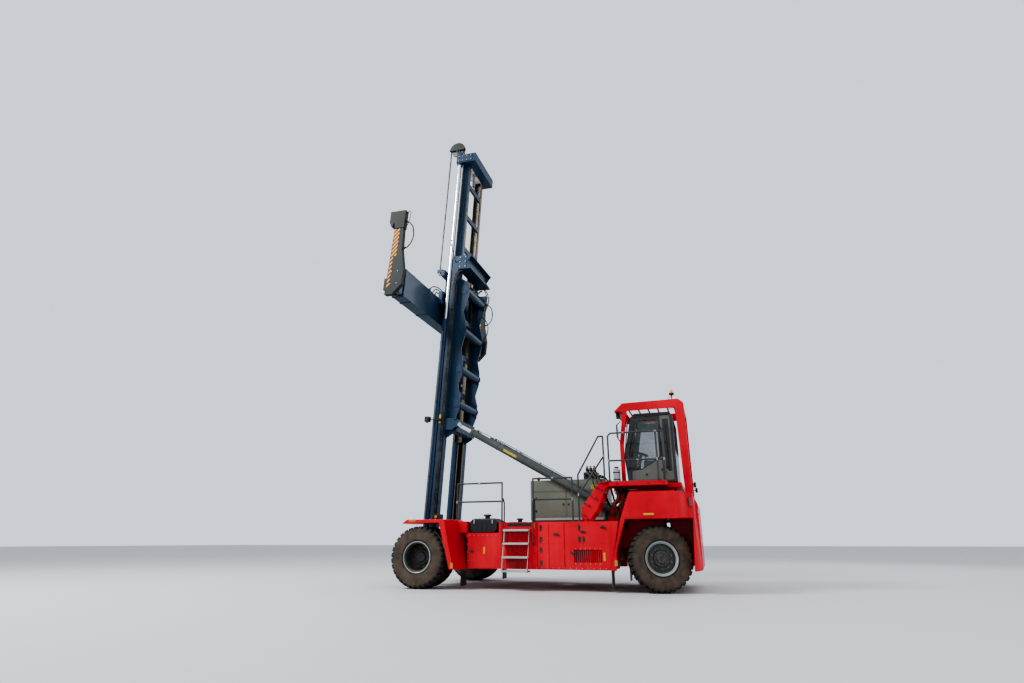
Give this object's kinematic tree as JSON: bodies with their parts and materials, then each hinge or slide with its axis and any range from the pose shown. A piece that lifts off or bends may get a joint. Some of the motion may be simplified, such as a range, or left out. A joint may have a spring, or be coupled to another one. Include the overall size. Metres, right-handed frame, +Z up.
{
  "type": "empty container handler",
  "caption": "Mobile yard machine with a telescopic mast and side-lift spreader for stacking empty containers, drive wheels in front, steered wheels and a raised cab behind.",
  "frame": {"origin": "on the ground under the middle of the machine's bounding box", "axes": "+X forwards to the mast, +Y to the machine's left, +Z up"},
  "size_m": [7.2347, 6.2, 13.3266],
  "materials": {
    "red_paint": "gloss",
    "black_paint": "semi-gloss",
    "mast_paint": "semi-gloss",
    "grey_paint": "satin",
    "rim_paint": "satin",
    "rod_chrome": "polished",
    "chain_steel": "oiled",
    "rubber_black": "matt",
    "plastic_black": "matt",
    "rail_grey": "satin",
    "lamp_red": "gloss",
    "tyre": "worn matt",
    "window_glass": "clear tinted"
  },
  "bodies": {
    "chassis": {"chassis_frame": "black_paint", "drive_axle": "black_paint", "steer_axle": "black_paint", "front_fender_left": "red_paint", "front_fender_right": "red_paint", "side_cabinet_left": "red_paint", "side_cabinet_right": "red_paint", "dark_box_left": "plastic_black", "dark_box_right": "plastic_black", "access_steps": "rail_grey", "battery_box": "grey_paint", "counterweight": "red_paint", "mudflaps": "rubber_black", "cab_stairs": "red_paint", "cab_platform": "red_paint", "cab_guard": "red_paint", "cab_shell": "grey_paint", "cab_glass": "window_glass", "cab_post": "grey_paint", "seat": "plastic_black", "cab_console": "plastic_black", "railings": "rail_grey", "drive_motor": "black_paint", "valve_block": "black_paint", "body_lamps": "lamp_red"},
    "mast": {"outer_mast": "mast_paint", "lift_barrels": "mast_paint", "mast_lamps": "plastic_black"},
    "mast_inner": {"inner_mast": "mast_paint", "lift_rods": "rod_chrome", "sheaves": "mast_paint", "chains_front": "chain_steel", "chains_rear": "chain_steel"},
    "carriage": {"carriage": "mast_paint", "spreader_beam": "mast_paint"},
    "cab_door": {"cab_door": "grey_paint", "door_glass": "window_glass"},
    "front_wheel_left": {"wheel_front_left": "rim_paint", "tyre_front_left_outer": "tyre", "tyre_front_left_inner": "tyre"},
    "knuckle_left": {"knuckle_left": "black_paint"},
    "rear_wheel_left": {"wheel_rear_left": "rim_paint", "tyre_rear_left": "tyre"},
    "arm_left": {"arm_left": "mast_paint", "end_post_left": "mast_paint"},
    "tilt_barrel_left": {"tilt_barrel_left": "grey_paint"},
    "tilt_rod_left": {"tilt_rod_left": "rod_chrome"},
    "front_wheel_right": {"wheel_front_right": "rim_paint", "tyre_front_right_outer": "tyre", "tyre_front_right_inner": "tyre"},
    "knuckle_right": {"knuckle_right": "black_paint"},
    "rear_wheel_right": {"wheel_rear_right": "rim_paint", "tyre_rear_right": "tyre"},
    "arm_right": {"arm_right": "mast_paint", "end_post_right": "mast_paint"},
    "tilt_barrel_right": {"tilt_barrel_right": "grey_paint"},
    "tilt_rod_right": {"tilt_rod_right": "rod_chrome"}
  },
  "joints": [
    {"name": "front_wheel_left", "type": "hinge", "parent": "chassis", "child": "front_wheel_left", "pos_m": [2.77, 1.685, 0.69], "axis": [0, 1, 0], "continuous": true},
    {"name": "front_wheel_right", "type": "hinge", "parent": "chassis", "child": "front_wheel_right", "pos_m": [2.77, -1.685, 0.69], "axis": [0, 1, 0], "continuous": true},
    {"name": "steer_left", "type": "hinge", "parent": "chassis", "child": "knuckle_left", "pos_m": [-2.64, 1.15, 0.69], "axis": [0, 0, 1], "range_deg": [-73, 37]},
    {"name": "steer_right", "type": "hinge", "parent": "chassis", "child": "knuckle_right", "pos_m": [-2.64, -1.15, 0.69], "axis": [0, 0, 1], "range_deg": [-73, 37]},
    {"name": "rear_wheel_left", "type": "hinge", "parent": "knuckle_left", "child": "rear_wheel_left", "pos_m": [-2.71416, 1.37825, 0.69], "axis": [-0.309, 0.9511, 0], "continuous": true},
    {"name": "rear_wheel_right", "type": "hinge", "parent": "knuckle_right", "child": "rear_wheel_right", "pos_m": [-2.56584, -1.37825, 0.69], "axis": [-0.309, 0.9511, 0], "continuous": true},
    {"name": "mast_tilt", "type": "hinge", "parent": "chassis", "child": "mast", "pos_m": [2.76, 0, 1.1], "axis": [0, 1, 0], "range_deg": [-1, 6]},
    {"name": "tilt_barrel_left", "type": "hinge", "parent": "chassis", "child": "tilt_barrel_left", "pos_m": [-1.66, 0.7, 1.73], "axis": [0, 1, 0], "range_deg": [-0.4, 1.8]},
    {"name": "tilt_rod_left", "type": "slide", "parent": "tilt_barrel_left", "child": "tilt_rod_left", "axis": [0.8703, 0, 0.4925], "range_m": [-0.06, 0.3]},
    {"name": "tilt_barrel_right", "type": "hinge", "parent": "chassis", "child": "tilt_barrel_right", "pos_m": [-1.66, -0.7, 1.73], "axis": [0, 1, 0], "range_deg": [-0.4, 1.8]},
    {"name": "tilt_rod_right", "type": "slide", "parent": "tilt_barrel_right", "child": "tilt_rod_right", "axis": [0.8703, 0, 0.4925], "range_m": [-0.06, 0.3]},
    {"name": "mast_lift", "type": "slide", "parent": "mast", "child": "mast_inner", "axis": [-0.0523, 0, 0.9986], "range_m": [-3.3, 3.2], "deforming": ["chains_rear"]},
    {"name": "carriage_lift", "type": "slide", "parent": "mast_inner", "child": "carriage", "axis": [-0.0523, 0, 0.9986], "range_m": [-3.3, 3.2], "deforming": ["chains_front"]},
    {"name": "arm_left", "type": "slide", "parent": "carriage", "child": "arm_left", "axis": [0, 1, 0], "range_m": [0, 3.05]},
    {"name": "arm_right", "type": "slide", "parent": "carriage", "child": "arm_right", "axis": [0, -1, 0], "range_m": [0, 3.05]},
    {"name": "cab_door", "type": "hinge", "parent": "chassis", "child": "cab_door", "pos_m": [-2.91, 0.752, 3.15], "axis": [0, 0, 1], "range_deg": [0, 90]}
  ],
  "couplings": [
    {"joint": "steer_right", "follows": "steer_left", "ratio": 1},
    {"joint": "carriage_lift", "follows": "mast_lift", "ratio": 1},
    {"joint": "arm_right", "follows": "arm_left", "ratio": 1},
    {"joint": "tilt_barrel_left", "follows": "mast_tilt", "ratio": 0.2601},
    {"joint": "tilt_rod_left", "follows": "mast_tilt", "m_per_rad": 2.6891},
    {"joint": "tilt_barrel_right", "follows": "mast_tilt", "ratio": 0.2601},
    {"joint": "tilt_rod_right", "follows": "mast_tilt", "m_per_rad": 2.6891}
  ]
}
